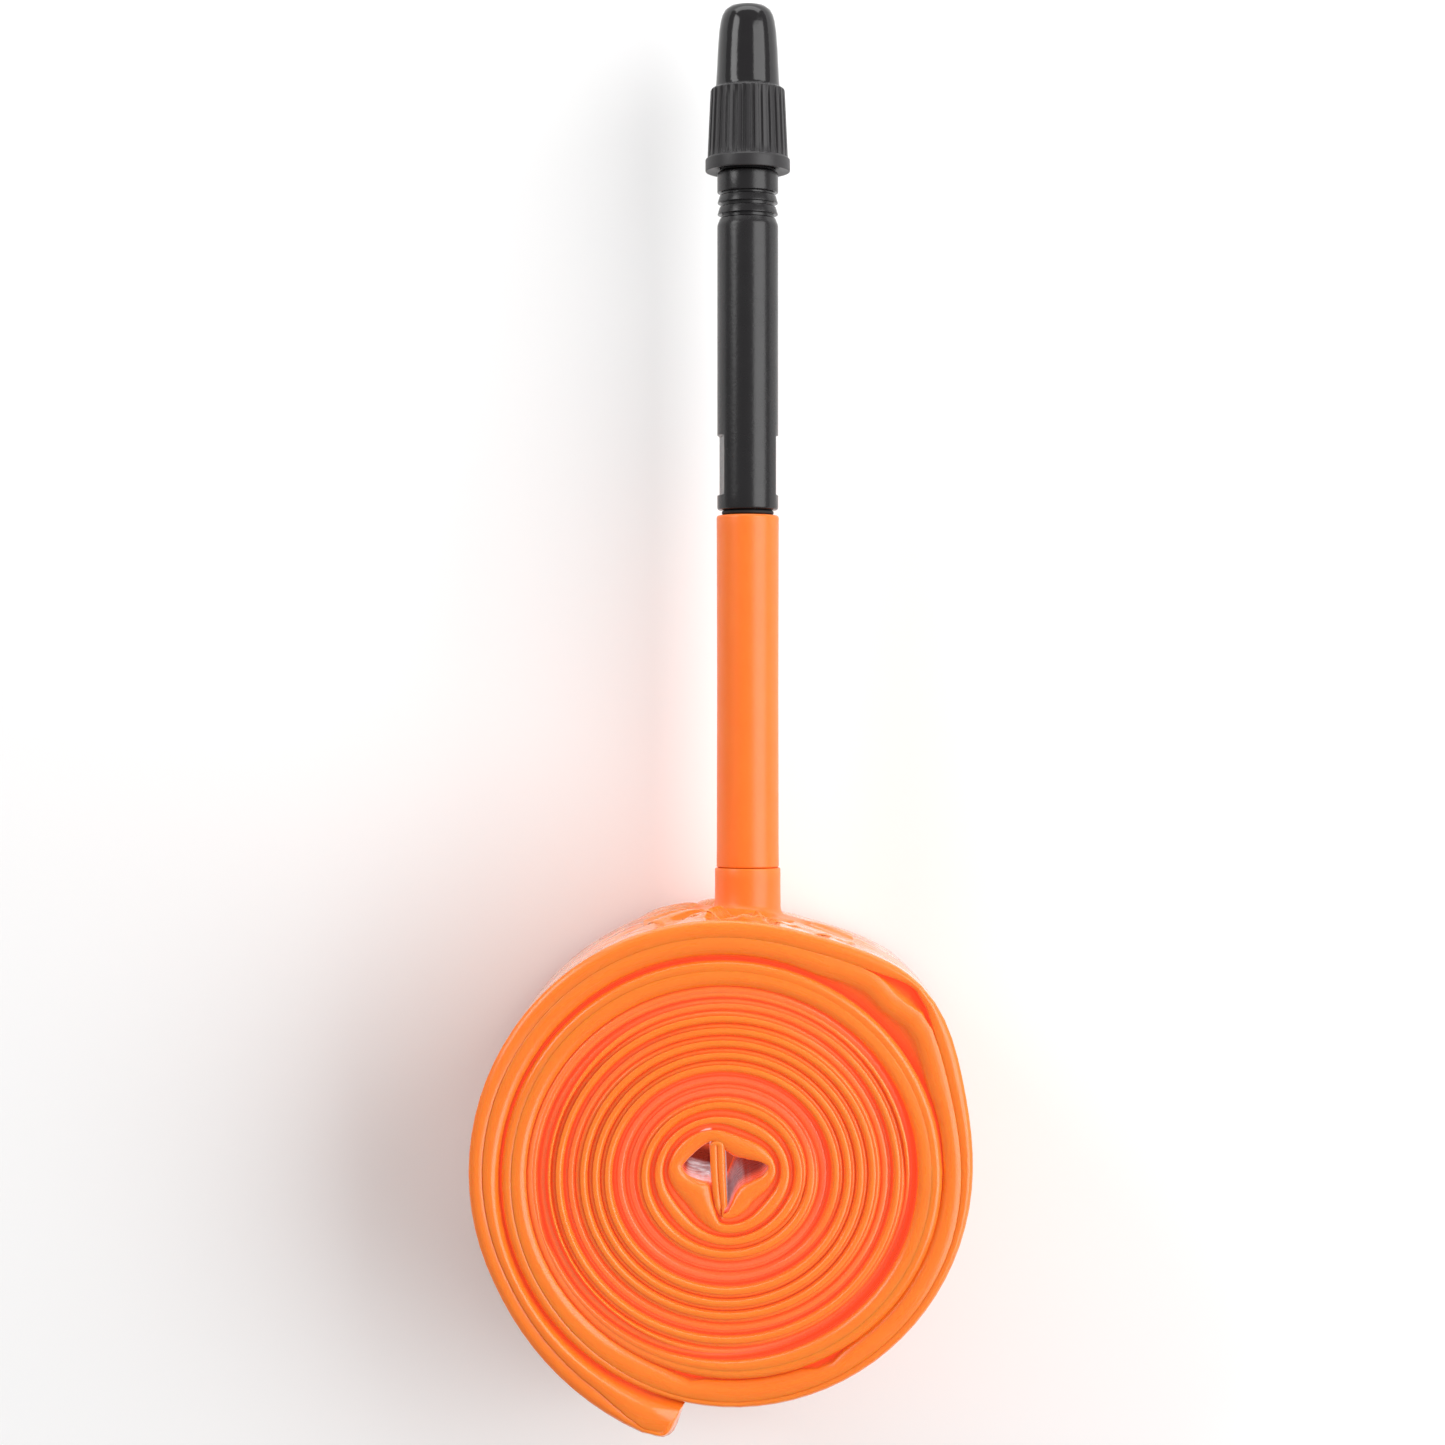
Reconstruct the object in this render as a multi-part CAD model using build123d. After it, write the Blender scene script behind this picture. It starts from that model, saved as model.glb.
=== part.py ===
from build123d import *
import os
from math import cos, exp, hypot, pi, radians, sin

# Bicycle inner tube for a road wheel, flattened, laid double and rolled up, with its long valve
# standing out of the roll. Millimetres. The roll lies on its side: +Z is the roll's axis, +Y is
# the way the valve points, and the origin is the roll's centre on its lower face.

# Roll
WIDTH = 28.0            # the flattened tube's width, so the roll's height
FIRST_TURN = -0.2       # turns are counted outwards, and whole turns lie at +X
LAST_TURN = 13.7        # the fold that ends the roll
ARC = 0.1               # turns in each arc of the outlines
CORE_RUN = [            # outer face of the run across the middle
    (-0.95, 2.6), (-0.88, 1.2), (-0.75, -0.2), (-0.62, -1.7), (-0.42, -3.1), (0.3, -4.3)]
CORE_RADIUS = 4.97      # mean radius at turn 0
PITCH = 1.12            # growth of the radius in a turn, where the roll is tight
TIGHT_END = 13.35       # from here the last turn is round
UNEVEN = (0.23, -0.36, 0.25)    # how far the turns stand off a circle: cosine, sine and double cosine parts
EVEN_FROM = 12          # turn over which most of that fades
EVEN_SHARE = 0.8
CORE_DENTS = [(60, 0.7, 35), (222, 1.45, 32), (325, 0.6, 28)]   # degrees, depth at turn 0, width
DENT_FADE = 1.3         # the flat sides of the core fade outwards
LOOSE_STEPS = [(11.5, 0.5, 1.1), (12.45, 0.6, 2.1)]    # first turn, turns and rise of each slack step
LAST_START = 13         # turn that the degrees below count from
LAST_BEND = 42          # degrees into the last turn where it bends over the foot's edge
BEND_RISE = 1.95
BEND_WIDTH = 19
TAIL_LIFT = 1.85        # the end stands off the roll
TAIL_START = 205        # degrees into the last turn
TAIL_LENGTH = 50        # degrees
TAIL_POWER = 1.5        # it lifts slowly at first
PLY_SHARE = 0.45        # share of a turn's room that one ply fills
PLY_LIMIT = 1.5         # greatest thickness of a ply
PARTING = 0.06          # gap between the two plies
BEND_PARTING = 0.75     # and where the outer ply bends away
BEND_PARTING_WIDTH = 17
FOLD = 0.55             # length of solid film at the two folds

# Valve
STEM_X = 2.4            # the valve's axis stands beside the roll's centre
AXIS_Z = WIDTH / 2
STEM_R = 2.95
STEM_FOOT = 27.1        # seam between the foot's collar and the stem
STEM_TOP = 60.6
AIR_R = 1.6
AIR_BOTTOM = 22.4       # the air hole goes through the outer ply
SOCKET_R = 2.3          # the stem's spigot sits in the foot
SOCKET_BOTTOM = 24.4
BORE_R = 2.0            # threaded mouth that takes the barrel's shank
BORE_BOTTOM = 53.0

LAYERS = (13.1, 13.4)   # turns that the welded layers are cut from
PATCH = 0.35            # thickness of the reinforcing film
PATCH_SIDE = 20.0
PATCH_CORNER = 4.0
FLANGE = 0.45           # thickness of the foot's flange
FLANGE_R = 6.5
COLLAR_R = 3.12
FILM_GAP = 0.03         # between welded layers
SEAM_GAP = 0.05         # between the collar and the stem
ROLL_CLEAR = 15.0       # inside the roll, below every welded layer
ABOVE_FOOT = 30.0       # above every one of them

SEAL_RING_R = 2.26      # ring under the barrel's collar
SEAL_R = 0.22

THREAD_SHAPE = (0.1, 0.5, 0.62)     # end of the root, and start and end of the crest, in pitches

BODY_R = 2.9            # barrel
EDGE = 0.3              # usual chamfer
BARREL_BOTTOM = 54.1
COLLAR_BOTTOM = 61.1
FLATS_BOTTOM = 62.6
FLATS_TOP = 68.1
FLATS_ACROSS = 5.0
FLATS_TURN = 9.0        # degrees
CUTTER = 2.0            # thickness of the blocks that cut flats
BARREL_R = 1.85         # inside
MOUTH_R = 1.3           # air hole through the shank
SHANK_R = 1.95
SHANK_ROOT_R = 1.7
SHANK_PITCH = 0.7
NECK_R = 2.5            # waist with the barbs that hold the cap
NECK_BOTTOM = 88.9
NECK_TOP = 91.27
BARB_TIP_R = 2.63
BARB_LENGTH = 0.8
BARBS = (89.18, 90.27)
SHOULDER_TOP = 93.2     # the cap sits just over this
CAP_BOTTOM = 93.3
THREAD_R = 2.6
THREAD_ROOT_R = 2.3
THREAD_PITCH = 1.06
BARREL_TOP = 98.0

SLEEVE_R = 1.8          # Presta core
SLEEVE_BORE_R = 1.1
SEAT = 68.05
SEAT_R = 1.5
HEAD_R = 2.1
HEAD_ACROSS = 3.4
HEAD_FLATS_BOTTOM = 98.45
HEAD_TOP = 101.0
GASKET_R = 1.5
GASKET_BOTTOM = 94.0
GASKET_TOP = 95.5

PIN_R = 0.8
PIN_ROOT_R = 0.65
PIN_PITCH = 0.5
PIN_THREAD = 99.0
PIN_TOP = 106.5
TIP_BOTTOM = 105.7
TIP_R = 1.0
LOWER_HEAD_R = 1.45
LOWER_HEAD = 66.0
LOWER_HEAD_TOP = 66.6
RUNNING = 0.02          # small clearance
NUT_R = 2.0
NUT_BORE_R = 0.86
NUT_NECK_R = 1.45
NUT_EDGE = 0.2
NUT_STEP = 102.45       # the knurled part ends here
NUT_NOTCHES = 20
NOTCH = 0.22
NUT_BOTTOM = 101.1
NUT_TOP = 103.1

CAP_TOP = 109.25
CAP_R = 4.03            # flange
CAP_EDGE = 0.25
RIBS_BOTTOM = 94.6
RIBS_TOP = 101.2
CAP_RIBS = 28
RIB = 0.22              # half thickness
RIB_INSIDE_R = 3.2
RIB_LOW_R = 3.83        # outer edge of a rib at its two ends
RIB_TOP_R = 3.52
SKIRT_LOW_R = 3.6       # the skirt between the ribs
SKIRT_TOP_R = 3.3
NOSE = [                # radius and height up the domed nose
    (3.05, 101.35), (2.98, 101.9), (2.85, 104.0), (2.72, 106.0), (2.6, 107.3), (2.35, 108.2),
    (1.85, 108.9), (1.1, 109.2), (0, CAP_TOP)]
CAP_INSIDE = [          # clear way for the pin, then a mouth over the thread
    (0, 107.4), (1.5, 107.4), (2.35, 106.2), (2.45, 102.6), (2.65, 101.0), (2.66, CAP_BOTTOM)]


# Roll: its outer face, the two plies along it, and the layers welded to it

def ease(u):
    """0 to 1, smoothly, as u goes from 0 to 1"""
    u = min(max(u, 0), 1)
    return u * u * (3 - 2 * u)


def bell(x, width):
    return exp(-(x / width) ** 2)


def outer_radius(turn):
    """Radius of the roll's outer face"""
    a = 2 * pi * (turn % 1)
    uneven = UNEVEN[0] * cos(a) + UNEVEN[1] * sin(a) + UNEVEN[2] * cos(2 * a)
    radius = CORE_RADIUS + PITCH * min(turn, TIGHT_END) + uneven * (1 - EVEN_SHARE * ease(turn - EVEN_FROM))
    for angle, depth, width in CORE_DENTS:
        aside = (360 * turn - angle + 180) % 360 - 180
        radius -= depth * bell(aside, width) * exp(-DENT_FADE * max(turn, 0))
    for start, length, rise in LOOSE_STEPS:
        radius += rise * ease((turn - start) / length)
    degrees_on = 360 * (turn - LAST_START)
    radius += BEND_RISE * bell(degrees_on - LAST_BEND, BEND_WIDTH)
    lifted = min(max((degrees_on - TAIL_START) / TAIL_LENGTH, 0), 1)
    return radius + TAIL_LIFT * lifted ** TAIL_POWER


def roll_point(turn):
    """A point of the outer face"""
    a = 2 * pi * turn
    r = outer_radius(turn)
    return (r * cos(a), r * sin(a))


def ply(turn):
    """Thickness of one ply"""
    room = outer_radius(turn) - outer_radius(turn - 1) if turn > 1 else PITCH
    return min(PLY_SHARE * room, PLY_LIMIT)


def parting(turn):
    """Gap between the plies"""
    bend = bell(360 * (turn - LAST_START) - LAST_BEND, BEND_PARTING_WIDTH)
    return PARTING + BEND_PARTING * bend


def turns(first, last):
    """Turns from first to last in half arcs"""
    count = round(2 * (last - first) / ARC)
    return [first + i * ARC / 2 for i in range(count + 1)]


def arcs(points):
    """A line of arcs, each through three points"""
    return [ThreePointArc(*points[i:i + 3]) for i in range(0, len(points) - 2, 2)]


def offset_line(points, shifts):
    """A line's points, each moved by its shift to the right of the line's way"""
    moved = []
    for i, (x, y) in enumerate(points):
        x0, y0 = points[max(i - 1, 0)]
        x1, y1 = points[min(i + 1, len(points) - 1)]
        length = hypot(x1 - x0, y1 - y0)
        moved.append((x + shifts[i] * (y1 - y0) / length, y - shifts[i] * (x1 - x0) / length))
    return moved


def band(points, near, far):
    """Outline of the band between two offsets of a line, with a round fold at its last end"""
    outer = offset_line(points, near)
    inner = offset_line(points, far)
    (x0, y0), (x1, y1) = outer[-1], inner[-1]
    fold = ThreePointArc((x0, y0), ((x0 + x1 - y0 + y1) / 2, (y0 + y1 + x0 - x1) / 2), (x1, y1))
    return make_face(arcs(outer) + [fold] + arcs(inner) + [Line(inner[0], outer[0])])


def layer(first, last, bottom, top, z0, z1):
    """A film layer over the roll, from turn first to turn last, between two lifts and two heights"""
    face_line = [roll_point(t) for t in turns(first, last)]
    outer = offset_line(face_line, [top] * len(face_line))
    inner = offset_line(face_line, [bottom] * len(face_line))
    sides = [Line(outer[-1], inner[-1]), Line(inner[0], outer[0])]
    return Pos(0, 0, z0) * extrude(make_face(arcs(outer) + arcs(inner) + sides), z1 - z0)


def make_tube():
    # The flattened tube is a closed loop, laid double. It starts as a straight run across the
    # middle, doubles back at the bottom of the core, and winds outwards under its outer face
    grid = turns(FIRST_TURN, LAST_TURN)
    line = CORE_RUN + [roll_point(t) for t in grid]
    plies = [ply(FIRST_TURN)] * len(CORE_RUN) + [ply(t) for t in grid]
    gaps = [PARTING] * len(CORE_RUN) + [parting(t) for t in grid]
    under = [-2 * p - g for p, g in zip(plies, gaps)]
    loop = extrude(band(line, [0] * len(line), under), WIDTH)
    # The gap between the plies stops short of the folds at both ends
    (x0, y0), (x1, y1) = CORE_RUN[:2]
    back = FOLD / hypot(x1 - x0, y1 - y0)
    line[0] = (x0 + back * (x1 - x0), y0 + back * (y1 - y0))
    line[-1] = roll_point(LAST_TURN - FOLD / (2 * pi * outer_radius(LAST_TURN)))
    middle = [-p - g for p, g in zip(plies, gaps)]
    slit = extrude(band(line, [-p for p in plies], middle), WIDTH)
    return loop - slit - on_valve(cylinder(AIR_R, AIR_BOTTOM, STEM_FOOT))


# Valve: everything turned about its axis

def on_valve(shape):
    return Pos(STEM_X, 0, AXIS_Z) * shape


def turned(*points):
    """A solid turned about +Y from an outline of (radius, height) points"""
    return revolve(make_face(Polyline(*points, close=True)), Axis.Y)


def cylinder(r, bottom, top):
    return turned((0, bottom), (r, bottom), (r, top), (0, top))


def tube(r, bore, bottom, top):
    return turned((bore, bottom), (r, bottom), (r, top), (bore, top))


def thread(crest, root, pitch, bottom, top):
    """(radius, height) points up a thread's flanks"""
    points = []
    count = int((top - bottom) / pitch)
    low, start, end = THREAD_SHAPE
    for i in range(count):
        y = bottom + i * pitch
        points += [(root, y + low * pitch), (crest, y + start * pitch), (crest, y + end * pitch)]
    return points + [(root, bottom + count * pitch)]


def flats(across, bottom, top):
    """Two blocks that cut a pair of wrench flats"""
    block = Box(CUTTER, top - bottom, 3 * BODY_R)
    height = (bottom + top) / 2
    return [Pos(side * (across + CUTTER) / 2, height, 0) * block for side in (-1, 1)]


def make_patch():
    sheet = layer(*LAYERS, FILM_GAP, FILM_GAP + PATCH, AXIS_Z - PATCH_SIDE / 2, AXIS_Z + PATCH_SIDE / 2)
    outline = RectangleRounded(PATCH_SIDE, PATCH_SIDE, PATCH_CORNER)
    cutter = Pos(0, ROLL_CLEAR, 0) * (Rot(-90, 0, 0) * extrude(outline, ABOVE_FOOT - ROLL_CLEAR))
    return (sheet & on_valve(cutter)) - on_valve(cylinder(AIR_R, ROLL_CLEAR, ABOVE_FOOT))


def make_foot():
    bottom = 2 * FILM_GAP + PATCH
    flange = layer(*LAYERS, bottom, bottom + FLANGE, 0, WIDTH)
    flange &= on_valve(cylinder(FLANGE_R, ROLL_CLEAR, ABOVE_FOOT))
    collar = layer(*LAYERS, bottom, ABOVE_FOOT - ROLL_CLEAR, 0, WIDTH)
    collar &= on_valve(cylinder(COLLAR_R, ROLL_CLEAR, STEM_FOOT))
    socket = cylinder(SOCKET_R + RUNNING, SOCKET_BOTTOM, ABOVE_FOOT)
    return flange + collar - on_valve(socket) - on_valve(cylinder(AIR_R, ROLL_CLEAR, ABOVE_FOOT))


def make_stem():
    shoulder = STEM_FOOT + SEAM_GAP
    spigot = SOCKET_BOTTOM + SEAM_GAP
    shape = turned(
        (AIR_R, spigot), (SOCKET_R, spigot), (SOCKET_R, shoulder), (STEM_R, shoulder),
        (STEM_R, STEM_TOP - EDGE), (STEM_R - EDGE, STEM_TOP), (BORE_R, STEM_TOP),
        (BORE_R, BORE_BOTTOM), (AIR_R, BORE_BOTTOM - BORE_R + AIR_R))
    return on_valve(shape)


def make_barrel_seal():
    ring = Pos(SEAL_RING_R, (STEM_TOP + COLLAR_BOTTOM) / 2) * Circle(SEAL_R)
    return on_valve(revolve(ring, Axis.Y))


def barb(bottom):
    """(radius, height) points of one barb, wide towards the stem"""
    top = bottom + BARB_LENGTH
    return [(NECK_R, bottom), (BODY_R, bottom), (BARB_TIP_R, top), (NECK_R, top)]


def make_barrel():
    shank_top = COLLAR_BOTTOM - 2 * EDGE
    outline = [(MOUTH_R, BARREL_BOTTOM), (SHANK_ROOT_R, BARREL_BOTTOM)]
    outline += thread(SHANK_R, SHANK_ROOT_R, SHANK_PITCH, BARREL_BOTTOM, shank_top)
    outline += [(SHANK_R, shank_top), (SHANK_R, COLLAR_BOTTOM), (BODY_R - EDGE, COLLAR_BOTTOM)]
    outline += [(BODY_R, COLLAR_BOTTOM + EDGE), (BODY_R, NECK_BOTTOM - 2 * EDGE), (BARB_TIP_R, NECK_BOTTOM)]
    outline += [(NECK_R, NECK_BOTTOM)]
    for bottom in BARBS:
        outline += barb(bottom)
    outline += [(NECK_R, NECK_TOP), (BODY_R, NECK_TOP), (BODY_R, SHOULDER_TOP)]
    outline += [(THREAD_ROOT_R, SHOULDER_TOP)]
    outline += thread(THREAD_R, THREAD_ROOT_R, THREAD_PITCH, CAP_BOTTOM, BARREL_TOP)
    outline += [(THREAD_ROOT_R, BARREL_TOP), (BARREL_R, BARREL_TOP)]
    outline += [(BARREL_R, COLLAR_BOTTOM), (MOUTH_R, shank_top)]
    shape = turned(*outline)
    for block in flats(FLATS_ACROSS, FLATS_BOTTOM, FLATS_TOP):
        shape -= Rot(0, FLATS_TURN, 0) * block
    return on_valve(shape)


def make_core_sleeve():
    shoulder = BARREL_TOP + SEAM_GAP
    shape = turned(
        (SLEEVE_BORE_R, SEAT), (SEAT_R, SEAT), (SLEEVE_R, SEAT + EDGE), (SLEEVE_R, GASKET_BOTTOM),
        (GASKET_R, GASKET_BOTTOM), (GASKET_R, GASKET_TOP), (SLEEVE_R, GASKET_TOP),
        (SLEEVE_R, shoulder), (HEAD_R, shoulder), (HEAD_R, HEAD_TOP - EDGE),
        (HEAD_R - EDGE, HEAD_TOP), (SLEEVE_BORE_R, HEAD_TOP))
    for block in flats(HEAD_ACROSS, HEAD_FLATS_BOTTOM, HEAD_TOP + EDGE):
        shape -= block
    return on_valve(shape)


def make_core_gasket():
    low, high = GASKET_BOTTOM + SEAM_GAP, GASKET_TOP - SEAM_GAP
    return on_valve(tube(SLEEVE_R + RUNNING, GASKET_R + RUNNING, low, high))


def make_pin():
    outline = [(0, LOWER_HEAD), (LOWER_HEAD_R, LOWER_HEAD), (LOWER_HEAD_R, LOWER_HEAD_TOP)]
    outline += [(PIN_R, LOWER_HEAD_TOP), (PIN_R, PIN_THREAD)]
    outline += thread(PIN_R, PIN_ROOT_R, PIN_PITCH, PIN_THREAD, TIP_BOTTOM - PIN_PITCH / 4)
    outline += [(PIN_ROOT_R, TIP_BOTTOM), (TIP_R, TIP_BOTTOM), (TIP_R, PIN_TOP - EDGE)]
    outline += [(TIP_R - EDGE, PIN_TOP), (0, PIN_TOP)]
    return on_valve(turned(*outline))


def make_pin_seal():
    return on_valve(tube(SEAT_R, PIN_R + RUNNING, LOWER_HEAD_TOP + RUNNING, SEAT - RUNNING))


def make_lock_nut():
    shape = turned(
        (NUT_BORE_R, NUT_BOTTOM), (NUT_R - NUT_EDGE, NUT_BOTTOM), (NUT_R, NUT_BOTTOM + NUT_EDGE),
        (NUT_R, NUT_STEP - NUT_EDGE), (NUT_R - NUT_EDGE, NUT_STEP), (NUT_NECK_R, NUT_STEP),
        (NUT_NECK_R, NUT_TOP - NUT_EDGE), (NUT_NECK_R - NUT_EDGE, NUT_TOP), (NUT_BORE_R, NUT_TOP))
    notch = Pos(NUT_R, (NUT_BOTTOM + NUT_STEP) / 2, 0) * Rot(0, 45, 0) * Box(NOTCH, CUTTER, NOTCH)
    for i in range(NUT_NOTCHES):
        shape -= Rot(0, 360 / NUT_NOTCHES * i, 0) * notch
    return on_valve(shape)


def make_cap():
    outside = [(CAP_R - CAP_EDGE, CAP_BOTTOM), (CAP_R, CAP_BOTTOM + CAP_EDGE)]
    outside += [(CAP_R, RIBS_BOTTOM - CAP_EDGE), (CAP_R - CAP_EDGE, RIBS_BOTTOM)]
    outside += [(SKIRT_LOW_R, RIBS_BOTTOM), (SKIRT_TOP_R, RIBS_TOP)]
    shape = turned(*outside, *NOSE, *CAP_INSIDE)
    outline = Polyline(
        (RIB_INSIDE_R, RIBS_BOTTOM), (RIB_LOW_R, RIBS_BOTTOM), (RIB_TOP_R, RIBS_TOP),
        (RIB_INSIDE_R, RIBS_TOP), close=True)
    rib = extrude(make_face(outline), RIB, both=True)
    for i in range(CAP_RIBS):
        shape += Rot(0, 360 / CAP_RIBS * i, 0) * rib
    return on_valve(shape)


def main():
    os.makedirs("parts", exist_ok=True)
    nodes = {
        "inner_tube": make_tube(),
        "valve_patch": make_patch(),
        "valve_foot": make_foot(),
        "valve_stem": make_stem(),
        "barrel_seal": make_barrel_seal(),
        "valve_barrel": make_barrel(),
        "core_sleeve": make_core_sleeve(),
        "core_gasket": make_core_gasket(),
        "valve_pin": make_pin(),
        "pin_seal": make_pin_seal(),
        "lock_nut": make_lock_nut(),
        "dust_cap": make_cap(),
    }
    for name, shape in nodes.items():
        export_step(shape, f"parts/{name}.step")


main()
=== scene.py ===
from math import atan2, ceil, cos, exp, floor, hypot, pi, radians, sin, sqrt, tau

import bpy
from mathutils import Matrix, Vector, noise


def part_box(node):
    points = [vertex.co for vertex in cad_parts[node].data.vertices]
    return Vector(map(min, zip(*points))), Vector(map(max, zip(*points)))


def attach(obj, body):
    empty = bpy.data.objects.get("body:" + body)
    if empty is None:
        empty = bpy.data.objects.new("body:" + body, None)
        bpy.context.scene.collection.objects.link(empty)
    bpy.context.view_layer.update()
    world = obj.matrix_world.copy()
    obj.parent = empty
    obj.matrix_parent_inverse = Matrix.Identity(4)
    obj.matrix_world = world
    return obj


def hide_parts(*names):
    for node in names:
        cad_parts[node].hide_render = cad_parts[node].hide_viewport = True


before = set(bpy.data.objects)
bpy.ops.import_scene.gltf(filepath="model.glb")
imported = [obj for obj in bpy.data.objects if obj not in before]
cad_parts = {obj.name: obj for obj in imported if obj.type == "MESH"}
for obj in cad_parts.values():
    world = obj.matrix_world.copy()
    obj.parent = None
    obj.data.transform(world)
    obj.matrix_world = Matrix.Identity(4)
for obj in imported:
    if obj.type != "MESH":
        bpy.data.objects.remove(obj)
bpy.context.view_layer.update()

# A rolled-up bicycle inner tube with its long removable valve. Lengths below are millimetres, in
# the CAD model's frame: +Z is the roll's axis, +Y is the way the valve points.
MM = 0.001


def span(node, axis):
    """Lowest and highest value of a CAD node along an axis, in mm"""
    low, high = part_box(node)
    return low[axis] / MM, high[axis] / MM


def radius_of(node):
    low, high = span(node, 0)
    return (high - low) / 2


WIDTH = span("inner_tube", 2)[1]
STEM_X = sum(span("valve_stem", 0)) / 2
AXIS_Z = sum(span("valve_stem", 2)) / 2
STEM_R = radius_of("valve_stem")
STEM_FOOT = span("valve_foot", 1)[1]
BARREL_LOW, THREAD_TOP = span("valve_barrel", 1)
BODY_R = radius_of("valve_barrel")
CAP_LOW, CAP_TOP = span("dust_cap", 1)
CAP_R = radius_of("dust_cap")
SKIRT_TOP = 101.2               # where the cap's ribs end and its glossy nose starts


# Pieces from points

def piece(name, points, faces, body, material, stands_for=(), uvs=None, sharp=40, values=None):
    """A smooth mesh object, in mm, that rides on a CAD body and stands for CAD nodes"""
    mesh = bpy.data.meshes.new(name)
    mesh.from_pydata([(x * MM, y * MM, z * MM) for x, y, z in points], [], faces)
    if uvs:
        layer = mesh.uv_layers.new(name="along")
        for loop in mesh.loops:
            layer.data[loop.index].uv = uvs[loop.vertex_index]
    for key, numbers in (values or {}).items():
        mesh.attributes.new(key, "FLOAT", "POINT").data.foreach_set("value", numbers)
    mesh.validate()
    mesh.shade_smooth()
    mesh.set_sharp_from_angle(angle=radians(sharp))
    mesh.materials.append(material)
    obj = bpy.data.objects.new(name, mesh)
    bpy.context.scene.collection.objects.link(obj)
    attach(obj, body)
    if stands_for:
        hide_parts(*stands_for)
    return obj


def ring_faces(rings, count, closed):
    """Quads between rings of count points each; closed joins the last ring to the first"""
    faces = []
    for i in range(rings if closed else rings - 1):
        a = i * count
        b = (i + 1) % rings * count
        faces += [(a + j, a + (j + 1) % count, b + (j + 1) % count, b + j) for j in range(count)]
    return faces


def soften(outline, steps=4):
    """(radius, height, rounding) corners of a closed outline, each rounded off by that length"""
    points = []
    for i, corner in enumerate(outline):
        r, y = corner[:2]
        size = corner[2] if len(corner) > 2 else 0
        before, after = outline[i - 1], outline[(i + 1) % len(outline)]
        if not size:
            points.append((r, y))
            continue
        ends = []
        for r1, y1, *_ in (before, after):
            length = hypot(r1 - r, y1 - y)
            part = min(size, 0.48 * length) / length
            ends.append((r + (r1 - r) * part, y + (y1 - y) * part))
        (ra, ya), (rb, yb) = ends
        for k in range(steps + 1):
            u = k / steps
            points.append(((1 - u) ** 2 * ra + 2 * u * (1 - u) * r + u * u * rb,
                           (1 - u) ** 2 * ya + 2 * u * (1 - u) * y + u * u * yb))
    return points


def divide(points, longest):
    """The outline with its long runs cut, so that no run is over the longest"""
    fine = []
    for i, (r, y) in enumerate(points):
        r1, y1 = points[(i + 1) % len(points)]
        count = max(ceil(hypot(r1 - r, y1 - y) / longest), 1)
        fine += [(r + (r1 - r) * k / count, y + (y1 - y) * k / count) for k in range(count)]
    return fine


def lathe(name, outline, segments, body, material, stands_for=(), shape=None, longest=1.5,
          sharp=40):
    """A piece turned about the valve's axis from a closed outline; shape bends each radius"""
    rings = divide(soften(outline), longest)
    points, uvs = [], []
    for k, (r, y) in enumerate(rings):
        for j in range(segments):
            a = tau * j / segments
            rr = shape(r, y, a) if shape else r
            points.append((STEM_X + rr * sin(a), y, AXIS_Z + rr * cos(a)))
            uvs.append((r * a * MM, y * MM))
    faces = ring_faces(len(rings), segments, True)
    return piece(name, points, faces, body, material, stands_for, uvs, sharp)


# Materials

def material(name, colour, roughness, **values):
    """A new node material, its shader and its node-making function"""
    mat = bpy.data.materials.new(name)
    mat.use_nodes = True
    tree = mat.node_tree
    shader = tree.nodes["Principled BSDF"]
    shader.inputs["Base Color"].default_value = (*colour, 1)
    shader.inputs["Roughness"].default_value = roughness
    for key, value in values.items():
        shader.inputs[key.replace("_", " ")].default_value = value

    def node(kind, links=(), **settings):
        new = tree.nodes.new(kind)
        for key, value in settings.items():
            if hasattr(new, key):
                setattr(new, key, value)
            else:
                new.inputs[key.replace("_", " ")].default_value = value
        for socket, source in dict(links).items():
            tree.links.new(source, new.inputs[socket])
        return new

    def link(source, socket):
        tree.links.new(source, shader.inputs[socket])

    return mat, node, link


def ramp(node, source, low, high):
    """Maps a 0 to 1 value to a range of numbers"""
    return node("ShaderNodeMapRange", {"Value": source}, To_Min=low, To_Max=high).outputs["Result"]


def streaks(node, along, across):
    """Noise on the UV map, drawn out along the film"""
    uv = node("ShaderNodeUVMap", uv_map="along").outputs["UV"]
    place = node("ShaderNodeMapping", {"Vector": uv}, Scale=(along, across, 1)).outputs["Vector"]
    marks = node("ShaderNodeTexNoise", {"Vector": place}, Scale=1.0, Detail=3.0, Roughness=0.55)
    return marks.outputs["Fac"]


def grain(node, size):
    """Noise in object space with grains of about size mm"""
    place = node("ShaderNodeTexCoord").outputs["Object"]
    return node("ShaderNodeTexNoise", {"Vector": place}, Scale=1 / (size * MM), Detail=2.0).outputs["Fac"]


def bump(node, height, depth):
    """Bump of a depth in mm"""
    return node("ShaderNodeBump", {"Height": height}, Distance=depth * MM, Strength=1.0).outputs["Normal"]


def colour_mix(node, factor, first, second):
    """Blend by a factor of two colours, each three numbers or an output"""
    mix = node("ShaderNodeMix", data_type="RGBA")
    links = mix.id_data.links
    links.new(factor, mix.inputs[0])
    for socket, colour in zip(mix.inputs[6:8], (first, second)):
        if isinstance(colour, tuple):
            socket.default_value = (*colour, 1)
        else:
            links.new(colour, socket)
    return mix.outputs[2]


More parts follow.
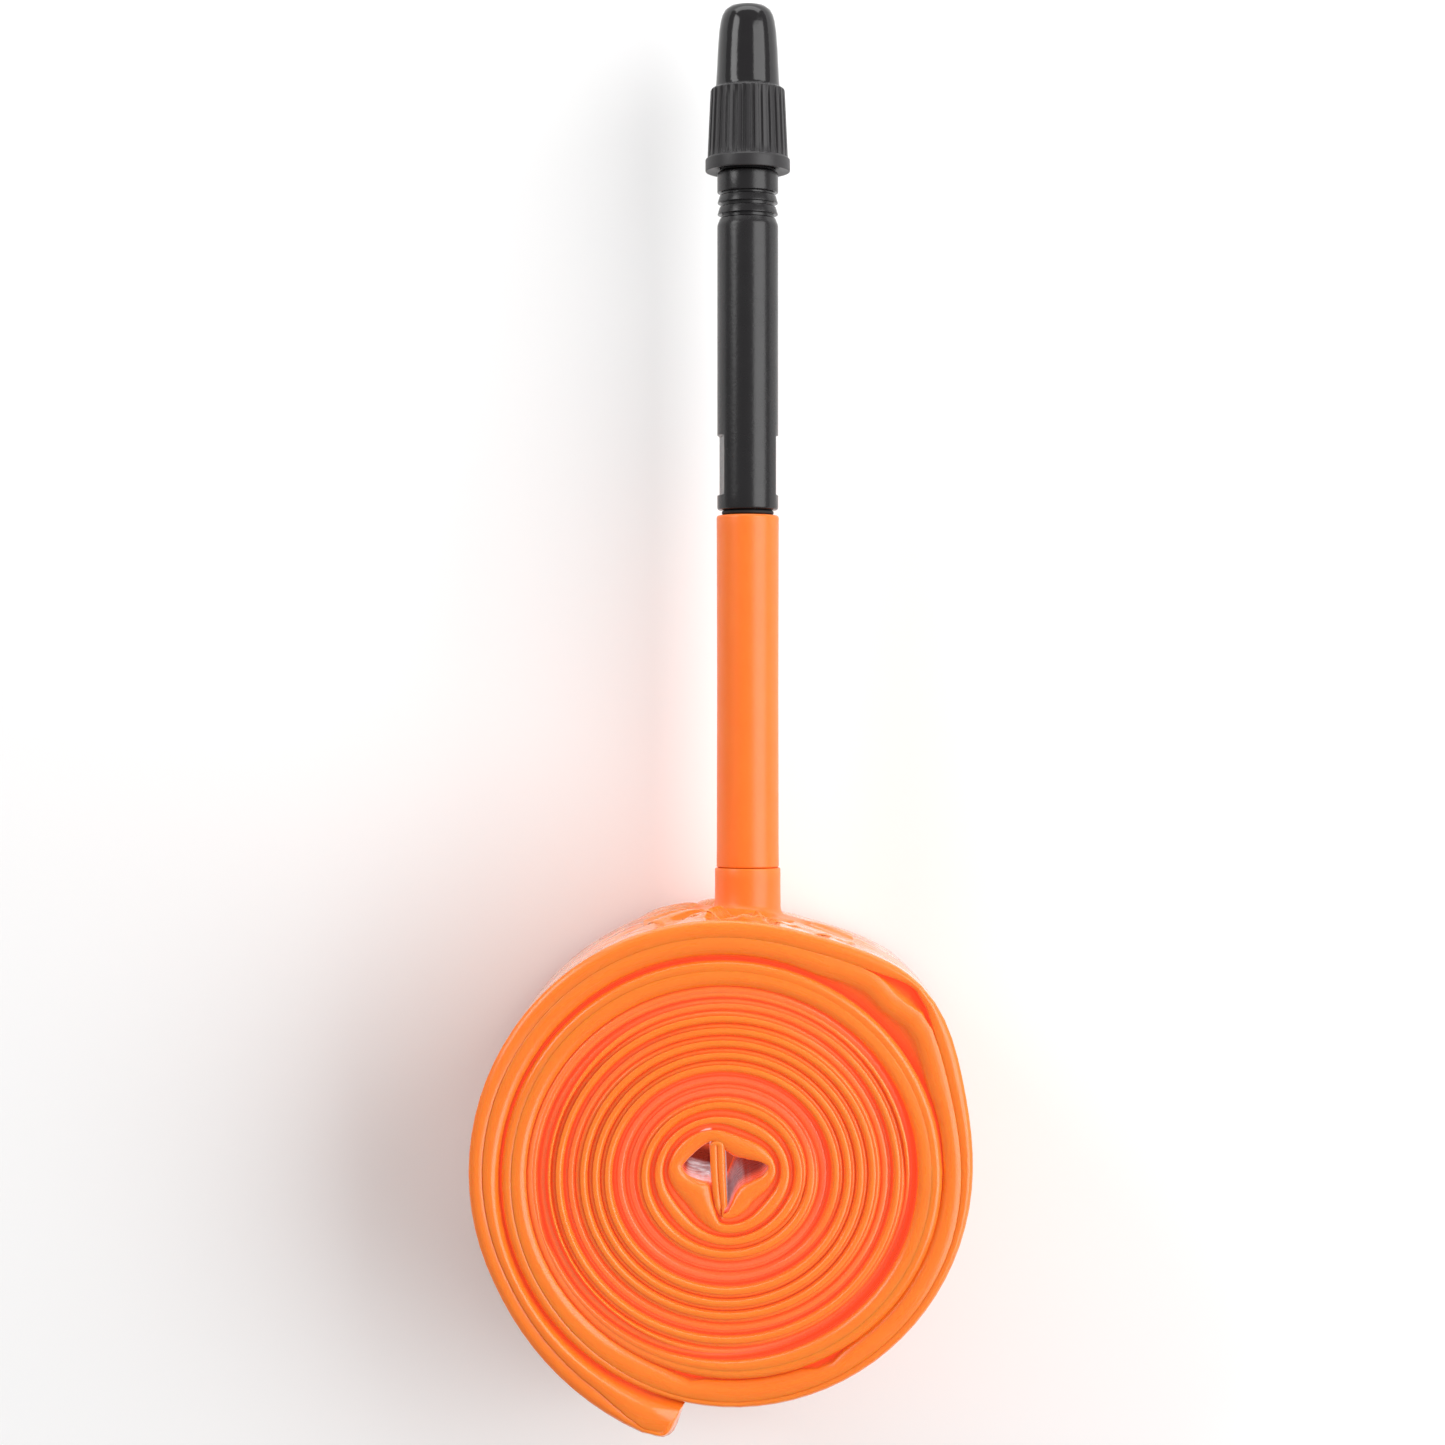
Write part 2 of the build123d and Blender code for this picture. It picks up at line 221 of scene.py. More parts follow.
# The film's own orange, in two tones for its streaks; the pink and the deep red below are painted shade in
# the grooves and deep between the turns
CREST, CREST_DARK = (0.96, 0.225, 0.018), (0.96, 0.195, 0.013)
GROOVE_SHADE_PINK, DEEP_SHADE_RED = (0.96, 0.13, 0.035), (0.45, 0.015, 0.02)
GLOW, GLINT_PALE = (0.2, 0.05, 0.018), (0.6, 0.58, 0.6)      # painted glow for light through the film, and painted pale glints in the core
# Painted glow, faint on the crests and stronger deep between the turns
FAINT_GLOW, DEEP_GLOW = (0.01, 0.001, 0.0), (0.03, 0.001, 0.003)
RED_TRAVELS_FAR = (1.0, 0.3, 0.08)      # how far each colour of light spreads inside the plastic
SATIN_ROUGHNESS = 0.42


def film_material():
    """Translucent film with painted shade, pinker in the grooves and redder deep between the turns, and a
    painted glow for light scattered through it; glossier on the roll's outer wall, with painted pale glints
    in the core"""
    mat, node, link = material("tube_film", CREST, 0.3, Subsurface_Weight=0.45, Subsurface_Scale=0.0014,
                               Emission_Strength=1.0, Coat_Roughness=0.1)
    mat.node_tree.nodes["Principled BSDF"].inputs["Subsurface Radius"].default_value = RED_TRAVELS_FAR
    long_marks = streaks(node, 60, 900)
    depth = node("ShaderNodeAttribute", attribute_name="depth").outputs["Fac"]
    shallow = node("ShaderNodeMapRange", {"Value": depth}, From_Min=0.15, From_Max=1.2).outputs["Result"]
    deep = node("ShaderNodeMapRange", {"Value": depth}, From_Min=2.6, From_Max=7.0).outputs["Result"]
    normal = node("ShaderNodeNewGeometry").outputs["Normal"]
    facing = node("ShaderNodeSeparateXYZ", {"Vector": normal}).outputs["Z"]
    level = node("ShaderNodeMath", {0: facing}, operation="ABSOLUTE").outputs["Value"]
    away = node("ShaderNodeMath", {0: level, 1: shallow}, operation="MAXIMUM").outputs["Value"]
    coat = node("ShaderNodeMapRange", {"Value": away}, From_Min=0.15, From_Max=0.75, To_Min=1.0, To_Max=0.22)
    link(coat.outputs["Result"], "Coat Weight")
    # The film's own streaked orange, then painted shade: pinker in the shallow grooves, dark red deep
    # between the turns
    plain = colour_mix(node, long_marks, CREST, CREST_DARK)
    shaded_pink = colour_mix(node, shallow, plain, GROOVE_SHADE_PINK)
    link(ramp(node, streaks(node, 150, 1500), 0.2, 0.36), "Roughness")
    link(bump(node, long_marks, 0.05), "Normal")
    # Painted glints: a pale colour and glow on the core's walls, where light comes up the core
    glint = node("ShaderNodeAttribute", attribute_name="glint").outputs["Fac"]
    glint_streaks = ramp(node, streaks(node, 900, 500), -0.5, 1.6)
    lit = node("ShaderNodeMath", {0: glint, 1: glint_streaks}, operation="MULTIPLY").outputs["Value"]
    link(colour_mix(node, lit, colour_mix(node, deep, shaded_pink, DEEP_SHADE_RED), GLINT_PALE), "Base Color")
    # Painted glow: emission standing in for light scattered through the film, stronger in the grooves and
    # deep between the turns
    glow = colour_mix(node, deep, colour_mix(node, shallow, FAINT_GLOW, GLOW), DEEP_GLOW)
    link(colour_mix(node, lit, glow, GLINT_PALE), "Emission Color")
    return mat


def stem_material():
    mat, node, link = material("stem_orange", (1.0, 0.22, 0.045), 0.34, Subsurface_Weight=0.25,
                               Subsurface_Scale=0.001)
    mat.node_tree.nodes["Principled BSDF"].inputs["Subsurface Radius"].default_value = RED_TRAVELS_FAR
    mottle = grain(node, 2.5)
    link(colour_mix(node, mottle, (1.0, 0.205, 0.02), (0.98, 0.18, 0.014)), "Base Color")
    link(ramp(node, grain(node, 0.8), 0.3, 0.42), "Roughness")
    link(bump(node, grain(node, 0.5), 0.006), "Normal")
    return mat


def black_material(name, rough_low, rough_high, satin_below=0):
    """Black plastic; under a height in mm along the valve it is rougher and greyer"""
    mat, node, link = material(name, (0.02, 0.019, 0.02), rough_low, Specular_IOR_Level=0.45)
    plain = colour_mix(node, grain(node, 1.8), (0.014, 0.013, 0.014), (0.009, 0.008, 0.009))
    rough = ramp(node, grain(node, 0.9), rough_low, rough_high)
    if satin_below:
        place = node("ShaderNodeTexCoord").outputs["Object"]
        height = node("ShaderNodeSeparateXYZ", {"Vector": place}).outputs["Y"]
        low = node("ShaderNodeMapRange", {"Value": height}, From_Min=satin_below * MM,
                   From_Max=(satin_below - 0.1) * MM).outputs["Result"]
        plain = colour_mix(node, low, plain, (0.02, 0.0185, 0.02))
        satin = node("ShaderNodeMapRange", {"Value": low, "To Min": rough}, To_Max=SATIN_ROUGHNESS)
        rough = satin.outputs["Result"]
    link(plain, "Base Color")
    link(rough, "Roughness")
    link(bump(node, grain(node, 0.35), 0.008), "Normal")
    return mat


def metal_material(name, light, dark, roughness):
    mat, node, link = material(name, light, roughness, Metallic=1.0)
    link(colour_mix(node, grain(node, 0.6), light, dark), "Base Color")
    link(ramp(node, grain(node, 0.25), roughness, roughness + 0.15), "Roughness")
    link(bump(node, grain(node, 0.12), 0.004), "Normal")
    return mat


film = film_material()
stem_orange = stem_material()
barrel_black = black_material("barrel_black", 0.2, 0.32)
cap_satin = black_material("cap_black", 0.09, 0.17, SKIRT_TOP)
rubber = black_material("seal_rubber", 0.6, 0.75)
nickel = metal_material("core_metal", (0.72, 0.68, 0.58), (0.6, 0.55, 0.45), 0.22)
brass = metal_material("pin_metal", (0.83, 0.62, 0.3), (0.7, 0.5, 0.22), 0.25)


# Rolled tube. Turns are counted outwards from the core, and whole turns lie at +X

LAST_TURN = 13.708
CORE_RADIUS = 4.97
PITCH = 1.12
TIGHT_END = 13.35
CORE_DENTS = [(60, 0.7, 35), (222, 1.45, 32), (325, 0.6, 28)]   # degrees, depth at turn 0, width
DENT_FADE = 1.3
LOOSE_STEPS = [(11.5, 0.5, 1.1), (12.45, 0.6, 2.1)]     # first turn, turns and rise of each slack step
LAST_START = 13                 # where the last turn starts
LAST_LOOSE = 12.7               # from here the last turn stands off
BEND = 43                       # degrees into the last turn
STEPS = 84                      # sections in a turn
EDGE_STEPS = 8
FLAT_WIDTH = 26.6               # the flattened tube, edge to edge

# Inner edge of the first turn, which is pinched: degrees and radius
CORE_EDGE = [
    (-90, 3.75), (-82, 3.6), (-75, 2.95), (-62, 2.3), (-45, 2.05), (-30, 2.2), (-15, 2.8), (-5, 3.6),
    (7, 4.3), (15, 3.6), (25, 2.6), (42, 1.9), (60, 1.75), (82, 1.95), (95, 2.5), (110, 3.0), (135, 3.0),
    (150, 3.15), (165, 3.5), (172, 3.75), (182, 3.3), (195, 2.3), (212, 1.5), (228, 1.42), (242, 1.85),
    (255, 2.85), (266, 4.5)]
# The doubled run across the middle, from its end to the bend: the middles of the outer and the inner
# ply, and half the thickness
CORE_RUN = [
    ((-0.84, 2.45), (-0.14, 2.4), 0.34), ((-0.8, 1.2), (-0.1, 1.1), 0.34),
    ((-0.72, -0.5), (-0.04, -0.55), 0.33), ((-0.58, -1.9), (0.06, -1.9), 0.31),
    ((-0.4, -3.1), (0.16, -3.05), 0.27)]


NOTCHES = [(11.555, 0.22), (12.725, 0.6), (12.828, 0.75)]     # turn and height of small gaps under a turn
# Shares of the way down a wall, closer together near its ends
WALL_SHARES = [0.02, 0.045, 0.075, 0.11] + [k / 20 for k in range(3, 18)] + [0.925, 0.98]


def ease(u):
    u = min(max(u, 0), 1)
    return u * u * (3 - 2 * u)


def bell(x, width):
    return exp(-(x / width) ** 2)


def window(x, rise, full, fall, end):
    """0 to 1 and back, smoothly"""
    return ease((x - rise) / (full - rise)) * (1 - ease((x - fall) / (end - fall)))


def along(table, x):
    """Straight-line value of a table of (x, value) pairs"""
    for (x0, y0), (x1, y1) in zip(table, table[1:]):
        if x <= x1:
            return y0 + (y1 - y0) * max((x - x0) / (x1 - x0), 0)
    return table[-1][1]


def outer_radius(turn):
    """Radius of the roll's outer face: the CAD model's formula"""
    a = tau * (turn % 1)
    uneven = 0.23 * cos(a) - 0.36 * sin(a) + 0.25 * cos(2 * a)
    radius = CORE_RADIUS + PITCH * min(turn, TIGHT_END) + uneven * (1 - 0.8 * ease(turn - 12))
    for angle, depth, width in CORE_DENTS:
        aside = (360 * turn - angle + 180) % 360 - 180
        radius -= depth * bell(aside, width) * exp(-DENT_FADE * max(turn, 0))
    for start, length, rise in LOOSE_STEPS:
        radius += rise * ease((turn - start) / length)
    if turn > LAST_LOOSE:
        degrees_on = 360 * (turn - LAST_START)
        radius += 1.95 * bell(degrees_on - BEND + 1, 19)
        radius += 1.85 * min(max((degrees_on - 205) / 50, 0), 1) ** 1.5
    return radius


OUTER_PLY = [           # turn, thickness
    (-0.25, 0.5), (-0.12, 0.95), (0.0, 0.45), (0.2, 0.65), (0.35, 0.55), (0.5, 0.5), (0.62, 0.75),
    (0.75, 0.4), (1.0, 0.45), (1.25, 0.65), (1.5, 0.48), (1.6, 0.6), (1.75, 0.45), (10.2, 0.5), (10.45, 0.6),
    (10.6, 0.62),
    (10.8, 0.6), (11.0, 0.78), (11.2, 0.7), (11.4, 0.5), (12.0, 1.0), (12.6, 0.9),
    (12.72, 0.55), (12.95, 0.85), (13.08, 1.5), (13.3, 1.55), (13.5, 1.3), (13.67, 1.4), (LAST_TURN, 0.4)]


def ply_faces(turn):
    """Radii of the outer ply's two faces and the inner ply's two faces, outwards in"""
    degrees_on = 360 * (turn - LAST_START)
    top = outer_radius(turn)
    outer_low = top - along(OUTER_PLY, turn) + 0.85 * bell(degrees_on - BEND, 7)
    inner_top = outer_low + 0.01 - 1.5 * bell(degrees_on - BEND - 1, 6)
    inner_top -= 0.3 * window(turn, 10.32, 10.45, 10.62, 10.75)
    if turn < 0.75:
        inner_low = along(CORE_EDGE, 360 * turn)
    else:
        inner_low = outer_radius(turn - 1) - 0.01
        inner_low += 0.33 * ease((turn - 12.95) / 0.12) + 0.12 * window(turn, 11.2, 11.4, 11.6, 11.75)
        inner_low += 0.25 * window(turn, 13.0, 13.2, 13.3, 13.45)
        for middle, height in NOTCHES:
            inner_low += height * bell(turn - middle, 0.014)
        if turn < 13.4:
            inner_low = max(inner_low, inner_top - 1.9)
    return top, outer_low, inner_top, inner_low


def gaps(turn):
    """Open space under the inner ply and between the plies"""
    if turn < 2:
        return 0, 0
    top, outer_low, inner_top, inner_low = ply_faces(turn)
    return inner_low - outer_radius(turn - 1) - 0.02, outer_low - inner_top - 0.02


def setback(turn, inner):
    """How far a ply's upper edge lies below the proudest ones"""
    depth = 0.5 * window(turn, 11.05, 11.2, 11.6, 11.78) + 0.4 * window(turn, 10.05, 10.2, 10.3, 10.4)
    depth += (1.6 if inner else 2.3) * window(turn, 10.68, 10.84, 10.92, 11.03 if inner else 11.25)
    if not inner:
        depth += 0.5 * window(turn, 10.25, 10.38, 10.68, 10.8)
    depth += 1.05 * window(turn, 2.95, 3.1, 4.8, 5.0) + 0.5 * window(turn, 8.25, 8.4, 9.1, 9.25)
    if not inner:
        depth += 0.38 * window(turn, 1.6, 1.95, 10.5, 10.7) + 0.75 * (1 - ease((turn - 1.6) / 0.35))
    if turn > 12:
        depth += 0.2 if inner else 0.3
    return depth + 0.12 + 0.12 * noise.noise((turn * 2.3, 3.1 if inner else 0.0, 0.0))


def at(turn, r):
    return Vector((r * cos(tau * turn), r * sin(tau * turn)))


def core_sections(inner):
    """(face to the right, face to the left, setback, turn) down the run across the middle"""
    sections = []
    ply = 1 if inner else 0
    for i, stop in enumerate(CORE_RUN):
        here = Vector(stop[ply])
        following = CORE_RUN[min(i + 1, len(CORE_RUN) - 1)]
        before = CORE_RUN[max(i - 1, 0)]
        way = (Vector(following[ply]) - Vector(before[ply])).normalized()
        side = Vector((way.y, -way.x)) * stop[2]
        sections.append((here + side, here - side, 0.1, -0.5 + 0.05 * i))
    return sections


def ply_sections(inner):
    """(outer face, inner face, setback, turn) of one ply from the core outwards"""
    sections = core_sections(inner)
    turns = [k / STEPS for k in range(ceil(-0.25 * STEPS), floor(LAST_TURN * STEPS) + 1)]
    turns += [13.12 + 0.003 * k for k in range(95)]         # finer round the bend
    for turn in sorted(set(turns)):
        top, outer_low, inner_top, inner_low = ply_faces(turn)
        outside, inside = (inner_top, inner_low) if inner else (top, outer_low)
        sections.append((at(turn, outside), at(turn, inside), setback(turn, inner), turn))
    return sections


TAIL_RIM = [            # turns past the end, radius
    (0.0035, 24.82), (0.0065, 24.75), (0.009, 24.55), (0.011, 24.2), (0.0125, 23.6), (0.014, 22.6),
    (0.016, 21.5)]


def tail_fold():
    """Sections round the fold that ends the roll, fanned about the tip of the line between the plies"""
    tip = at(LAST_TURN + 0.005, 24.3)
    return [(at(LAST_TURN + step, r), tip, setback(LAST_TURN, True), LAST_TURN) for step, r in TAIL_RIM]


def make_roll():
    """The closed loop of flattened tube: out along the outer ply, round the fold and back"""
    out = ply_sections(False)
    back = [(inside, outside, depth, turn) for outside, inside, depth, turn in ply_sections(True)[::-1]]
    sections = out + tail_fold() + back
    right, left, depth, turn = back[-1]
    middle, reach = (out[0][0] + right) / 2, (right - out[0][0]) / 2
    inner_middle = (out[0][1] + left) / 2
    up, bulge = Vector((0, 1)), 0.7 * reach.length
    for k in range(1, 6):
        a = pi * k / 6
        sections.append((middle + reach * cos(a) + up * bulge * sin(a), inner_middle, depth, turn))
    points, uvs, depths, glints = [], [], [], []
    length = 0
    for i, (right, left, depth, turn) in enumerate(sections):
        middle, reach = (right + left) / 2, (right - left) / 2
        before = sections[i - 1]
        length += (middle - (before[0] + before[1]) / 2).length if i else 0
        profile = section_profile(reach.length, depth, turn, i < len(out))
        across = 0
        for j, (n, z, out_by) in enumerate(profile):
            place = middle + reach * n + reach.normalized() * out_by
            points.append((place.x, place.y, z))
            uvs.append((length * MM, across * MM))
            # The depth under the roll's faces sets the film's painted shade; the outer wall and the fold get
            # none
            outside = n > 0 and i < len(out) and turn > LAST_TURN - 1.01 or turn > LAST_TURN - 0.004
            depths.append(0 if outside else max(min(z, WIDTH - z) - 0.5 * ease(turn - 11.5), 0))
            # The glint sets where the film gets its painted pale glints in the core
            glints.append(core_glint(place, WIDTH - z))
            n1, z1 = profile[(j + 1) % len(profile)][:2]
            across += hypot((n1 - n) * reach.length, z1 - z)
    ring = 2 * (EDGE_STEPS + 1 + len(WALL_SHARES))
    values = {"depth": depths, "glint": glints}
    piece("rolled_tube", points, ring_faces(len(sections), ring, True), "tube", film,
          ("inner_tube",), uvs, sharp=75, values=values)


def core_glint(place, depth):
    """Painted glints on the core's walls, standing in for light that comes up the core: the left hole and a
    strip beside the run
    """
    if place.length > 4.2:
        return 0
    left = ease((-0.95 - place.x) / 0.25) * (1 - ease((-2.9 - place.x) / 0.5))
    strip = window(place.x, 0.05, 0.15, 0.42, 0.55) * (1 - ease((place.y - 1.4) / 0.5))
    return max(left * window(depth, 0.6, 1.0, 10, 14), strip * window(depth, 1.5, 3, 24, 26))


def crease(x, z):
    """Height of the film's folds over the roll's smooth face, which run out from the valve's foot"""
    around, reach = atan2(z - AXIS_Z, x - STEM_X), hypot(x - STEM_X, z - AXIS_Z)
    fold = noise.noise((5 * cos(around), 5 * sin(around), 0.05 * reach))
    fold += 0.6 * noise.noise((11 * cos(around), 11 * sin(around), 0.05 * reach + 5))
    inside = ease((z - 1) / 4) * ease((WIDTH - 1.2 - z) / 3)
    return fold * ease((reach - 4.5) / 3) * bell(reach - 6, 9) * inside


def section_profile(half, depth, turn, outer):
    """(share of the half thickness, height, push outwards) round one section, from its right edge"""
    top = WIDTH - depth
    low = max(top - FLAT_WIDTH, 0.02)
    tight = turn > 1.95
    tail = ease((turn - 13.45) / 0.2) if not outer else 0
    rim = 0.5 + 0.6 * tail if tight else max(0.75 * half, 0.3)
    # How far the edge falls on its open side, and beside the other ply
    free = 0.4 + 0.65 * tail if tight else rim
    shared = 0.05 + 0.1 * ease(turn - 12) if tight else 0.5 * rim
    under, apart = (0, 0) if outer else gaps(turn)

    def fill(z):
        return ease((top - z - 0.4) / 1.5) * ease((z - low - 0.4) / 1.5)

    profile = []
    for k in range(EDGE_STEPS + 1):
        a = pi * k / EDGE_STEPS
        fall = shared if a > pi / 2 else free
        profile.append((cos(a), top - fall * (cos(a) ** 2 if tight else 1 - sin(a) ** 0.8), 0))
    for u in WALL_SHARES:
        z = top - rim + (low - top + 2 * rim) * u
        profile.append((-1, z, -apart * fill(z)))
    for k in range(EDGE_STEPS + 1):
        a = pi * k / EDGE_STEPS
        profile.append((-cos(a), low + rim - rim * sin(a) ** 0.8, 0))
    for u in WALL_SHARES[::-1]:
        z = low + rim + (top - low - 2 * rim) * (1 - u)
        x, y = at(turn, outer_radius(turn))
        folds = crease(x, z) if y > 0 and turn > 12.8 else 0
        profile.append((1, z, folds if outer else under * fill(z)))
    return profile


make_roll()


# Foot of the valve and the film under it

def surface(x):
    """Height of the roll's outer face over x, in the last turn"""
    y = 23.0                    # a first guess, which the loop brings onto the face
    for _ in range(12):
        turn = LAST_START + atan2(y, x) / tau
        y = sqrt(max(outer_radius(turn) ** 2 - x * x, 1))
    return y


def make_patch():
    """A thin rounded square of film, welded on round the hole, a little wavy at its edges"""
    side, hole, film_thick = 9.8, 2.2, 0.12
    sizes = [hole + (side - hole) * k / 24 for k in range(25)]
    count = 240
    points, uvs = [], []

    def add(size, square, lift):
        for j in range(count):
            a = tau * j / count
            stretch = 1 / max(abs(sin(a)), abs(cos(a)))
            r = size * (1 + (min(stretch, 1.27) - 1) * square)
            x, z = STEM_X + r * sin(a), AXIS_Z + r * cos(a)
            points.append((x, surface(x) + crease(x, z) + lift, z))
            uvs.append((x * MM, z * MM))

    for size in sizes:
        add(size, (size - hole) / (side - hole), film_thick)
    add(side + 0.1, 1, 0)
    for size in sizes[::-1]:
        add(size, (size - hole) / (side - hole), -0.05)
    piece("valve_patch_film", points, ring_faces(2 * len(sizes) + 1, count, True), "tube", film,
          ("valve_patch",), uvs)


COLLAR_R = 3.12


def make_foot():
    """The flange that follows the roll, its fillet and the collar"""
    collar = COLLAR_R
    rings = [(2.32, STEM_FOOT, 0), (collar - 0.14, STEM_FOOT, 0), (collar - 0.04, STEM_FOOT - 0.04, 0),
             (collar, STEM_FOOT - 0.14, 0)]
    rings += [(collar, STEM_FOOT - 0.9, 0), (collar, STEM_FOOT - 1.8, 0)]
    rings += [(collar + 0.02, None, 1.0), (collar + 0.1, None, 0.72), (collar + 0.3, None, 0.5)]
    rings += [(collar + 0.7, None, 0.38), (4.6, None, 0.32), (5.6, None, 0.28), (6.2, None, 0.24)]
    rings += [(6.44, None, 0.18), (6.5, None, 0.1), (6.44, None, 0.04), (5.0, None, 0.0), (2.32, None, 0.0)]
    count = 96
    points, uvs = [], []
    for r, y, lift in rings:
        for j in range(count):
            a = tau * j / count
            x, z = STEM_X + r * sin(a), AXIS_Z + r * cos(a)
            ripple = 0.05 * noise.noise((x * 0.8, z * 0.8, 6.0)) * ease((r - 3.4) / 1)
            points.append((x, y if y is not None else surface(x) + crease(x, z) + lift + ripple, z))
            uvs.append((r * a * MM, r * MM))
    piece("valve_foot_weld", points, ring_faces(len(rings), count, True), "tube", stem_orange,
          ("valve_foot",), uvs)


make_patch()
make_foot()


# Stem, seal and barrel

def make_stem():
    low, top = span("valve_stem", 1)
    bore = 2.0
    outline = [(1.6, low), (2.3, low, 0.1), (2.3, STEM_FOOT + 0.05), (STEM_R + 0.02, STEM_FOOT + 0.05, 0.16),
               (STEM_R, STEM_FOOT + 2.5), (STEM_R - 0.03, (STEM_FOOT + top) / 2), (STEM_R, top - 3),
               (STEM_R + 0.02, top, 0.3), (bore, top, 0.15), (bore, top - 7.6), (1.6, top - 8)]
    lathe("stem_sleeve", outline, 96, "tube", stem_orange, ("valve_stem",), longest=1.2)


def make_seal():
    low, top = span("barrel_seal", 1)
    thick_r = (top - low) / 2
    ring_r = radius_of("barrel_seal") - thick_r
    outline = [(ring_r + thick_r * cos(tau * k / 16), (low + top) / 2 + thick_r * sin(tau * k / 16))
               for k in range(16)]
    lathe("o_ring", outline, 72, "seal", rubber, ("barrel_seal",))


def screw(crest, root, pitch, bottom, top):
    """Outline points every tenth of a mm up a threaded stretch, and the function that cuts the helix"""
    count = int((top - bottom) / 0.1)
    heights = [bottom + (top - bottom) * k / count for k in range(count + 1)]

    def cut(r, y, a):
        if r < root + 0.01 or not bottom < y < top:
            return r
        phase = (y / pitch - a / tau) % 1
        flank = min(max(2.4 * abs(phase - 0.5) - 0.1, 0), 1)
        run_out = min(ease((y - bottom) / pitch), ease((top - y) / (0.6 * pitch)))
        return r - (crest - root) * flank * run_out

    return [(crest, y) for y in heights], cut


BARREL_COLLAR = 61.1            # underside of the barrel's collar
FLATS_LOW, FLATS_TOP = 62.6, 68.1
FLAT_HALF = 2.5
FLATS_TURN = radians(9)


def make_barrel():
    collar = BARREL_COLLAR
    shank, cut_shank = screw(1.95, 1.7, 0.7, BARREL_LOW + 0.2, 60.2)
    mouth, cut_mouth = screw(2.6, 2.3, 1.06, 93.35, THREAD_TOP - 0.1)
    outline = [(1.3, BARREL_LOW, 0.1), (1.8, BARREL_LOW, 0.15)] + shank
    outline += [(1.75, 60.5, 0.1), (1.75, collar), (BODY_R, collar, 0.28), (BODY_R, FLATS_LOW - 0.12)]
    outline += [(BODY_R, FLATS_LOW), (BODY_R, FLATS_TOP), (BODY_R, FLATS_TOP + 0.12)]
    outline += [(BODY_R, 88.2, 0.2), (2.63, 88.86, 0.12), (2.5, 88.9), (2.5, 89.14)]
    for low in (89.18, 90.27):
        outline += [(2.52, low, 0.05), (BODY_R - 0.01, low, 0.1)]
        outline += [(2.66, low + 0.78, 0.15), (2.5, low + 0.82)]
    outline += [(2.5, 91.27, 0.08), (BODY_R, 91.27, 0.14), (BODY_R, 93.2, 0.12), (2.35, 93.25)]
    outline += mouth + [(2.3, THREAD_TOP, 0.1), (1.85, THREAD_TOP, 0.1), (1.85, collar), (1.3, collar - 0.6)]

    def shape(r, y, a):
        if r > 2 and FLATS_LOW - 0.01 <= y <= FLATS_TOP + 0.01:
            return min(r, FLAT_HALF / max(abs(sin(a - FLATS_TURN)), 0.01))
        return cut_mouth(cut_shank(r, y, a), y, a)

    lathe("barrel_body", outline, 128, "barrel", barrel_black, ("valve_barrel",), shape,
          longest=1.5, sharp=24)


make_stem()
make_seal()
make_barrel()


# Presta core: sleeve, pin and lock nut

def make_core():
    seat, head_top = span("core_sleeve", 1)
    shoulder = THREAD_TOP + 0.05
    outline = [(1.1, seat), (1.5, seat, 0.1), (1.8, seat + 0.3, 0.1), (1.8, 94.0), (1.52, 94.0)]
    outline += [(1.52, 95.5), (1.8, 95.5)]
    outline += [(1.8, shoulder), (2.1, shoulder, 0.1), (2.1, shoulder + 0.35), (2.1, shoulder + 0.42)]
    outline += [(2.1, head_top - 0.25), (1.85, head_top, 0.12), (1.1, head_top, 0.1)]

    def flats(r, y, a):
        return min(r, 1.7 / max(abs(sin(a)), 0.01)) if r > 1.82 and y > shoulder + 0.4 else r

    lathe("core_head", outline, 96, "barrel", nickel, ("core_sleeve",), flats, sharp=24)

    low, top = span("valve_pin", 1)
    rod, cut_rod = screw(0.8, 0.66, 0.5, head_top - 2, top - 0.9)
    outline = [(0.001, low), (1.45, low, 0.15), (1.45, low + 0.6, 0.1), (0.8, low + 0.6, 0.05)] + rod
    outline += [(0.68, top - 0.85, 0.05), (1.0, top - 0.8, 0.1), (1.0, top, 0.3), (0.001, top)]
    lathe("core_pin", outline, 48, "pin", brass, ("valve_pin",), cut_rod)

    low, top = span("lock_nut", 1)
    outline = [(0.86, low, 0.05), (2.0, low, 0.15), (2.0, low + 0.62), (2.0, low + 1.15, 0.1)]
    outline += [(1.75, low + 1.38, 0.1)]
    outline += [(1.46, low + 1.4, 0.06), (1.44, top, 0.2), (0.86, top, 0.1)]

    def knurl(r, y, a):
        if r < 1.8:
            return r
        return r - 0.14 * abs(sin(13 * a)) ** 0.6 * window(y, low, low + 0.2, low + 1.1, low + 1.3)

    lathe("knurled_nut", outline, 156, "nut", nickel, ("lock_nut",), knurl, longest=0.3)


make_core()


# Dust cap: ribbed skirt and domed nose

CAP_RIBS = 28


